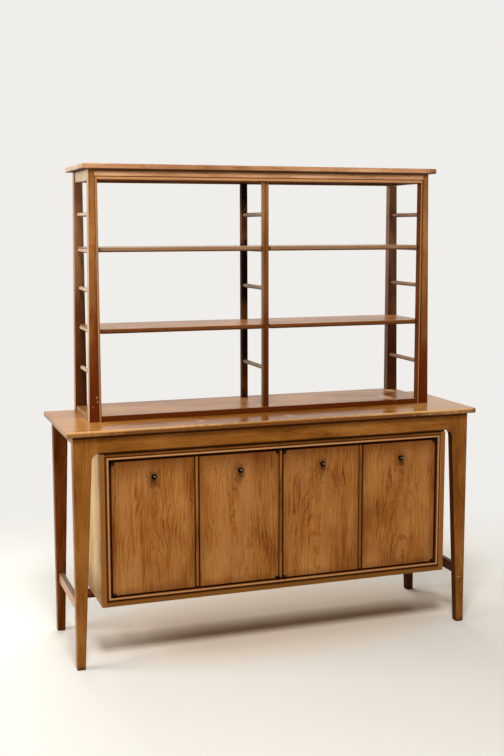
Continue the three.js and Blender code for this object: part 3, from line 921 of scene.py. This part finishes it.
# Two pale spots and a dark one along the front, then wide patches: a dark one, and a pale one at each end
base_top_spots = [
    (-0.271, -0.15, 0.02, (1, 0.7, 1), (226, 190, 140), 0.5),
    (0.045, -0.156, 0.018, (1, 0.7, 1), (232, 200, 156), 0.7),
    (-0.62, -0.16, 0.016, (1, 0.5, 1), (104, 58, 16), 0.5),
    (0.0, -0.12, 0.3, (0.7, 0.8, 1), (106, 58, 12), 0.5),
    (-0.68, -0.1, 0.16, (1, 0.6, 1), (204, 152, 88), 0.28),
    (0.66, -0.05, 0.2, (1, 0.6, 1), (206, 164, 110), 0.35),
]

# A pale ring on the right front leg
pale_ring = (Vector((0.6965, -0.208, 0.1708)), 0.013, (1, 1, 7), (196, 146, 96), 0.6)


def dress_base_top():
    low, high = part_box("base_top")
    corner = Vector((high.x + 0.005, low.y + 0.005, high.z - 0.01))
    dark_corner = (corner, 0.024, (1, 1, 1), (62, 28, 8), 0.7)
    # Painted highlight along the nose's upper round, and painted shade on its lower half and the underside
    nose_highlight = front_fade("base_top", (226, 178, 118), 0.55, 0.011, 0.005)
    nose_underside_shade = ("z", high.z - 0.0035, high.z - 0.008, (88, 44, 12), 0.9)
    dress(bullnose_board("base_top"), "base_top", "top_wood", "x", "z", figure=0.012,
          marks=on_top("base_top", base_top_spots) + [dark_corner], fades=[nose_highlight, nose_underside_shade])


def dress_aprons():
    # Painted shade along the apron's lower edge, over the case
    apron_edge_shade = ("z", apron_low + 0.005, apron_low, painted_shade_black, 0.7)
    dress(front_apron(), "front_apron", "frame_wood", "x", "y", figure=0.02,
          fades=[shadow_under_top, apron_edge_shade])
    dress_solid("rear_apron", board_edge, "frame_wood", "x", "y", shade=0.7)


def dress_legs(side, sign):
    node = "leg_front_" + side
    leg = dress(front_leg(side), node, "frame_wood", "z", "y", figure=0.02,
                marks=[pale_ring] if side == "right" else (), fades=[shadow_under_top, darker_foot])
    shade_inner(leg, node, sign, shade=1.7)
    node = "leg_rear_" + side
    leg = dress_solid(node, fine_edge, "rear_wood", "z", "y",
                      shade=shades[side]["rear_leg"], fades=[darker_foot])
    shade_inner(leg, node, sign, shade=0.6)


def dress_stretcher(side, sign):
    """Painted light on a paler outer side, and painted shade on the inner side and a darker upper edge."""
    node = "stretcher_" + side
    stretcher = dress_solid(node, strip_edge, "pale_wood", "y", "x", shade=1.1)
    shade_inner(stretcher, node, sign, "y", "x")
    repaint(stretcher, facing("z", 1, eased_share), "upper", node, "cream_wood", "y", "x",
            shade=shades[side]["stretcher_upper"])


# Case

# Where a case board's front edge starts and is full, behind its front
case_edge = (0.0025, 0.0012)


def dress_case_side(side):
    node = "case_side_" + side
    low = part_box(node)[0]
    brown_foot = ("z", low.z + 0.1265, low.z + 0.0265, (122, 84, 48), 0.5)
    # The case sides' paler wood is painted light
    dress_solid(node, board_edge, "side_wood", "z", "x",
                fades=[brown_foot, front_fade(node, (136, 84, 36), 1.0, *case_edge)])
    dress_solid("mullion_" + side, strip_edge, "case_wood", "z", "y", shade=shades[side]["mullion"])


def dress_case_boards():
    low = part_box("case_top")[0]
    # The case top is darker in painted shade, with the apron's painted shadow on the upper part of its front
    apron_shadow = ("z", low.z + 0.004, low.z + 0.0065, painted_shade_black, 0.8)
    dress_solid("case_top", fine_edge, "case_wood", "x", "z", shade=0.7, fades=[apron_shadow])
    dress_solid("case_bottom", board_edge, "case_wood", "x", "z",
                fades=[front_fade("case_bottom", (112, 74, 30), 0.8, *case_edge)])
    dress_solid("case_back", fine_edge, "inner_wood", "x", "y", figure=0.02)
    dress_solid("case_partition", strip_edge, "case_wood", "z", "x")


def bead_fades(tint):
    """A painted highlight on the bead's crest, and painted shade at its root behind the round."""
    crest = front_fade("bead_frame", tint, 0.85, 0.0014, 0.0004)
    root = front_fade("bead_frame", (60, 26, 6), 0.8, 0.0025, 0.0045)
    return [crest, root]


def dress_bead_frame():
    """Five woods, in the order of the numbers that bead_ring gives its faces."""
    node = "bead_frame"
    # The crest's painted highlight is brightest on the top, less on the uprights and least on the bottom
    ring = dress(bead_ring(), node, "bead_wood", "x", "y", fades=bead_fades((180, 132, 88)))
    add_wood(ring, "upright", node, "bead_wood", "z", "y", fades=bead_fades((158, 110, 68)))
    add_wood(ring, "groove", node, "groove_shade", "x", "y")
    add_wood(ring, "lip", node, "case_wood", "x", "y")
    add_wood(ring, "low", node, "bead_wood", "x", "y", fades=bead_fades((144, 98, 58)))


# Doors

# Where the cathedral figure's middle lies across each door
door_hearts = {"outer_left": 0.0, "inner_left": 0.015, "inner_right": -0.012, "outer_right": 0.01}
# A wide darker rim round each door, and a narrow dark edge painted as shade in the gaps
door_rims = [(0.034, (84, 42, 10), 0.4), (0.003, (78, 26, 4), 0.6)]
glint_shift = 0.0015
knob_patch_drop = 0.014


def dress_door(name, metal):
    """A door with a darker patch below its knob, and the knob, with a painted glint, and the hinges in dark
    metal.
    """
    node = "door_" + name
    low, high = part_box("knob_" + name)
    centre = (low + high) / 2
    dark_below_knob = (Vector((centre.x, high.y, centre.z - knob_patch_drop)), 0.032, (1, 1, 0.7), (70, 34, 8), 0.5)
    door_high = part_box(node)[1].z
    dark_head = ("z", door_high - 0.08, door_high - 0.005, (84, 38, 6), 0.45)
    dress(refined(node, fine_edge, node), node, "door_veneer", "z", "y", figure=0.11,
          heart=door_hearts[name], marks=[dark_below_knob], rims=door_rims, fades=[dark_head])
    # A painted glint on the knob's face
    painted_glint = Vector((centre.x + glint_shift, low.y, centre.z + glint_shift))
    knob_metal = dark_metal("dark_metal_" + name, painted_glint)
    for piece, look in ((knob(name), knob_metal), (hinge(name, "top"), metal), (hinge(name, "low"), metal)):
        piece.data.materials.clear()
        piece.data.materials.append(look)


# Hutch

# Two pale patches and three dark marks at the right, and a dark mark by the centre ladder
hutch_board_spots = [
    (0.495, 0.0, 0.024, (1, 0.35, 1), (224, 176, 148), 0.5),
    (0.585, 0.16, 0.02, (1, 0.5, 1), (228, 194, 160), 0.6),
    (0.536, 0.078, 0.017, (0.8, 0.5, 1), (70, 34, 12), 0.85),
    (0.53, 0.012, 0.012, (1, 0.35, 1), (84, 40, 18), 0.8),
    (0.4267, 0.0659, 0.0055, (1, 0.3, 1), (70, 36, 16), 0.9),
    (-0.053, 0.039, 0.012, (1, 0.5, 1), (74, 38, 14), 0.6),
]

# Marks by the hutch top's right front corner: in from the end, behind the front and above the underside
hutch_corner_marks = [
    ((0.01, 0.0, 0.0065), 0.018, (0.7, 1, 1.6), (92, 60, 38), 0.7),
    ((0.013, 0.0, 0.004), 0.005, (0.7, 1, 1.6), (44, 22, 10), 0.7),
    ((0.003, 0.002, 0.0075), 0.005, (1, 1, 1), (36, 16, 8), 0.7),
]

# Painted shade: how the posts darken towards the base top
post_fades = {
    "front": ("z", 1.5, 0.9, (82, 26, 2), 0.92),
    "rear": ("z", 1.5, 0.95, (66, 29, 6), 0.92),
    "centre_front": ("z", 1.56, 1.0, (70, 22, 0), 0.85),
    "centre_side": ("z", 1.56, 0.95, (76, 40, 14), 0.7),
}

# Lit stretches of the centre ladder's rear post: height, size, tint and share
lit_stretches = [
    (1.455, 0.085, (124, 84, 50), 0.7),
    (1.13, 0.06, (84, 50, 24), 0.7),
    (0.9, 0.09, (96, 52, 20), 0.7),
]

# Nicks on the left front post: out from the middle, and height
nick_places = ((0.606, 0.883), (0.603, 0.869), (0.62, 0.85))
nick_size = 0.003

# The upper shelf's paler, greyer wood is a painted sheen
shelf_looks = {"shelf_lower": "shelf_wood", "shelf_upper": "painted_sheen_shelf"}
shelf_edges = {"shelf_lower": (88, 48, 24), "shelf_upper": (128, 96, 68)}


def dress_hutch_board():
    dress_solid("hutch_board", board_edge, "shelf_wood", "x", "z", figure=0.02,
                marks=on_top("hutch_board", hutch_board_spots),
                fades=[front_fade("hutch_board", (82, 33, 6), 0.95)])


def dress_hutch_top():
    """Ends in cream painted light, and painted shade on and towards the underside."""
    node = "hutch_top"
    low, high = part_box(node)
    marks = []
    for (inward, behind, above), *rest in hutch_corner_marks:
        marks.append((Vector((high.x - inward, low.y + behind, low.z + above)), *rest))
    # Painted shade towards the underside
    fades = [("z", low.z + 0.0045, low.z + 0.001, dark_brown, 0.8)]
    board = dress(bullnose_board(node), node, "pale_wood", "x", "z", figure=0.012, marks=marks, fades=fades)
    repaint(board, lambda polygon: abs(polygon.normal.x) > round_share,
            "ends", node, "cream_wood", "y", "x", marks=marks, fades=fades)
    shade_under(board, node)


def dress_hutch_rails():
    """Dark lines of painted shade at the frieze's top, groove and bottom, and a painted highlight on its
    bead.
    """
    low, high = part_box("frieze_rail")
    shadow = ("z", high.z - 0.0085, high.z - 0.0025, painted_shade_black, 0.75)
    groove = ("z", low.z + 0.0138, low.z + 0.0128, painted_shade_black, 0.5)
    bead = ("z", low.z + 0.0103, low.z + 0.0095, (172, 120, 76), 0.9)
    lower_edge = ("z", low.z + 0.0025, low.z + 0.0005, painted_shade_black, 0.8)
    rail = dress_solid("frieze_rail", fine_edge, "pale_wood", "x", "y", shade=1.08,
                       fades=[shadow, groove, bead, lower_edge])
    shade_under(rail, "frieze_rail")
    # The rear rail is darker in painted shade, with painted shade underneath
    rail = dress_solid("rear_rail", board_edge, "hutch_wood", "x", "y", shade=0.6)
    shade_under(rail, "rear_rail", shade=1.2)


def dress_centre_ladder():
    """One solid with pale rungs, painted shade under them, and a wood of its own on each post."""
    node = "centre_ladder"
    low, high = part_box(node)
    front_post_back = low.y + centre_post_depth
    rear_post_front = high.y - centre_post_depth
    marks = [(Vector((0, rear_post_front, height)), size, (0.1, 0.1, 1), tint, share)
             for height, size, tint, share in lit_stretches]
    ladder = dress_solid(node, fine_edge, "rung_wood", "z", "y", shade=0.75)
    repaint(ladder, facing("z", -1, round_share), "rung_under", node, "pale_wood", "y", "x", shade=0.3)
    # The front post's face darkens downwards in painted shade, and its left side is paler in painted light
    repaint(ladder, lambda polygon: polygon.center.y < front_post_back + fine_edge,
            "front_post", node, "frame_wood", "z", "y", shade=0.95, fades=[post_fades["centre_front"]])
    repaint(ladder, lambda polygon: polygon.center.y < front_post_back and polygon.normal.x < -flat_share,
            "front_post_side", node, "pale_wood", "z", "y", shade=0.55, fades=[post_fades["centre_side"]])
    # The rear post is in painted shade, lighter on its lit stretches
    repaint(ladder, lambda polygon: polygon.center.y > rear_post_front - fine_edge,
            "rear_post", node, "shaded_wood", "z", "y", shade=0.3, marks=marks)


def dress_shelf(node):
    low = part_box(node)[0]
    front = front_fade(node, shelf_edges[node], 0.9)
    # Painted shade along the shelf's lower edge
    lower_edge = ("z", low.z + 0.006, low.z + 0.003, (62, 28, 10), 0.8)
    dress_solid(node, fine_edge, shelf_looks[node], "x", "z", figure=0.015, fades=[front, lower_edge])


def dress_front_post(side, sign):
    """A groove and a bead on its face. The left one has nicks and an outer face in painted light."""
    node = "post_front_" + side
    low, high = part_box(node)
    inner = min(abs(low.x), abs(high.x))
    groove_edge = inner + post_groove_edge
    bead_edge = inner + post_bead_edge
    # Painted shade in the groove and a painted highlight on the bead
    groove = ("x", sign * (groove_edge + painted_line_blend), sign * groove_edge, painted_shade_black, 0.5)
    bead = ("x", sign * (bead_edge + painted_line_blend), sign * bead_edge, (160, 108, 64), 0.8)
    nicks = [(Vector((-x, low.y, z)), nick_size, (1, 1, 0.7), (196, 150, 106), 0.45) for x, z in nick_places]
    post = dress_solid(node, fine_edge, "hutch_wood", "z", "y", shade=shades[side]["front_post"],
                       marks=nicks if side == "left" else (), fades=[post_fades["front"], groove, bead])
    shade_inner(post, node, sign, shade=1.8)
    if side == "left":
        repaint(post, facing("x", -1, flat_share), "outer", node, "cream_wood", "z", "x")


def dress_rear_post(side):
    """The left one has a paler outer face in painted light."""
    node = "post_rear_" + side
    post = dress_solid(node, board_edge, "pale_wood", "z", "y",
                       shade=shades[side]["rear_post"], fades=[post_fades["rear"]])
    if side == "left":
        repaint(post, facing("x", -1, flat_share), "outer_rear", node, "pale_wood", "z", "x")


def dress_end_ladder(side, sign):
    """The rail and the rungs of one end, with painted shade on the rail's inner side and under the rungs."""
    node = "hutch_side_rail_" + side
    # The rail's cream wood is painted light
    rail = dress_solid(node, board_edge, "cream_wood", "y", "x")
    shade_inner(rail, node, sign, "y", "x", shade=1.6)
    for number in range(1, rungs_in_ladder + 1):
        node = f"rung_{side}_{number}"
        rung = dress(rod(node), node, rung_looks[side], "y", "x", shade=shades[side]["rung"])
        repaint(rung, facing("z", -1, round_share), "under", node, "pale_wood", "y", "x", shade=0.35)


# All pieces, in the order of their seeds

dress_base_top()
dress_aprons()
# The cross slat under the case is all in painted shade
dress_solid("cross_slat", board_edge, "shaded_wood", "x", "z")
for side, sign in sides.items():
    dress_legs(side, sign)
    dress_solid("side_rail_" + side, board_edge, "frame_wood", "y", "x", shade=0.7)
    dress_stretcher(side, sign)
    dress_case_side(side)
dress_case_boards()
dress_bead_frame()
hinge_metal = dark_metal("dark_metal")
for name in doors:
    dress_door(name, hinge_metal)
dress_hutch_board()
dress_hutch_top()
dress_hutch_rails()
dress_centre_ladder()
for node in shelf_looks:
    dress_shelf(node)
for side, sign in sides.items():
    dress_front_post(side, sign)
    dress_rear_post(side)
    dress_end_ladder(side, sign)


# Floor, world, lamps and camera

background = linear(240, 238, 234)
floor_colour = linear(221, 221, 216)
cloud_colour = linear(214, 206, 194)
warm_colour = linear(224, 200, 170)
floor_reach = 30
floor_thickness = 0.02
floor_roughness = 0.7
floor_shine = 0.2

# The floor's clouds: their noise, and between which of its values they come in up to which share
cloud_noise = ((2.5, 2.5, 2.5), 3)
cloud_share = (0.3, 0.7, 0.0, 0.05)

# The floor fades into the background between these distances from the origin
blend_start = 0.95
blend_end = 2.2

# Painted warm bounce light under the case: its middle, its squash, where it fades out and its share
warm_middle = (0.05, 0.05, 0)
warm_squash = (1, 2, 0)
warm_fade = (0.4, 0.95)
warm_share = 0.6

# The world's light on the object, where the camera sees the background
ambient_level = 0.24
ambient_colour = linear(255, 226, 188)


def stage_floor():
    low = (-floor_reach, -floor_reach, -floor_thickness)
    high = (floor_reach, floor_reach, 0)
    floor = object_from(box_mesh(low, high), "floor")
    tree = Tree(bpy.data.materials.new("pale_floor"))
    place = tree.node("ShaderNodeTexCoord", {}, "Object")
    clouds = tree.ramp(tree.noise(place, *cloud_noise), *cloud_share)
    colour = tree.mix(clouds, floor_colour, cloud_colour)
    # Painted warm bounce light on the floor under the case
    warmth = tree.ramp(tree.distance(place, warm_middle, warm_squash), *warm_fade, warm_share, 0.0)
    colour = tree.mix(warmth, colour, warm_colour)
    tree.set("Base Color", colour)
    tree.set("Roughness", floor_roughness)
    tree.set("Specular IOR Level", floor_shine)
    glow = tree.node("ShaderNodeEmission", {"Color": background})
    share = tree.ramp(tree.distance(place), blend_start, blend_end)
    blend = tree.node("ShaderNodeMixShader", {0: share, 1: tree.shader.outputs[0], 2: glow})
    tree.feed(tree.nodes["Material Output"].inputs["Surface"], blend)
    floor.data.materials.append(tree.owner)


def world_light():
    """The background as it is where it is seen or mirrored, and a warm dim light for the rest."""
    world = bpy.data.worlds.new("studio")
    bpy.context.scene.world = world
    tree = Tree(world, "Background")
    rays = tree.nodes.new("ShaderNodeLightPath").outputs
    seen = tree.maths("MAXIMUM", rays["Is Camera Ray"], rays["Is Glossy Ray"])
    seen = tree.maths("MAXIMUM", seen, rays["Is Transmission Ray"])
    level = tree.node("ShaderNodeMapRange", {"Value": seen, "To Min": ambient_level, "To Max": 1.0})
    tree.set("Strength", level)
    tree.set("Color", tree.mix(seen, ambient_colour, background))


def soft_lamp(name, place, target, size, power, mirrored=False):
    """A lamp of a width and a height that looks from its place to its target."""
    lamp = bpy.data.lights.new(name, "AREA")
    lamp.shape = "RECTANGLE"
    lamp.size, lamp.size_y = size
    lamp.energy = power
    holder = bpy.data.objects.new(name, lamp)
    bpy.context.scene.collection.objects.link(holder)
    holder.location = place
    holder.rotation_mode = "QUATERNION"
    holder.rotation_quaternion = (Vector(target) - Vector(place)).to_track_quat("-Z", "Y")
    holder.visible_camera = False
    holder.visible_glossy = mirrored


def photo_camera():
    """The camera that was fitted to the photo."""
    lens = bpy.data.cameras.new("camera")
    lens.sensor_fit = "VERTICAL"
    lens.sensor_height = sensor_height
    lens.lens = focal_pixels * sensor_height / image_height
    camera = bpy.data.objects.new("camera", lens)
    bpy.context.scene.collection.objects.link(camera)
    heading = Matrix.Rotation(camera_yaw, 4, "Z")
    tilt = Matrix.Rotation(math.pi / 2 + camera_pitch, 4, "X")
    turn = heading @ tilt @ Matrix.Rotation(camera_roll, 4, "Z")
    camera.matrix_world = Matrix.Translation(camera_place) @ turn
    bpy.context.scene.camera = camera


stage_floor()
world_light()
soft_lamp("key", place=(-0.9, -2.7, 3.9), target=(0, 0, 0.7), size=(1.0, 1.0), power=170, mirrored=True)
soft_lamp("window", place=(-3.4, 0.1, 2.1), target=(0, 0, 1.9), size=(1.8, 1.8), power=86)
soft_lamp("behind", place=(0, 2.2, 2.8), target=(0, 0.2, 0.2), size=(2.4, 1.2), power=70)
photo_camera()
bpy.context.scene.view_settings.view_transform = "Standard"
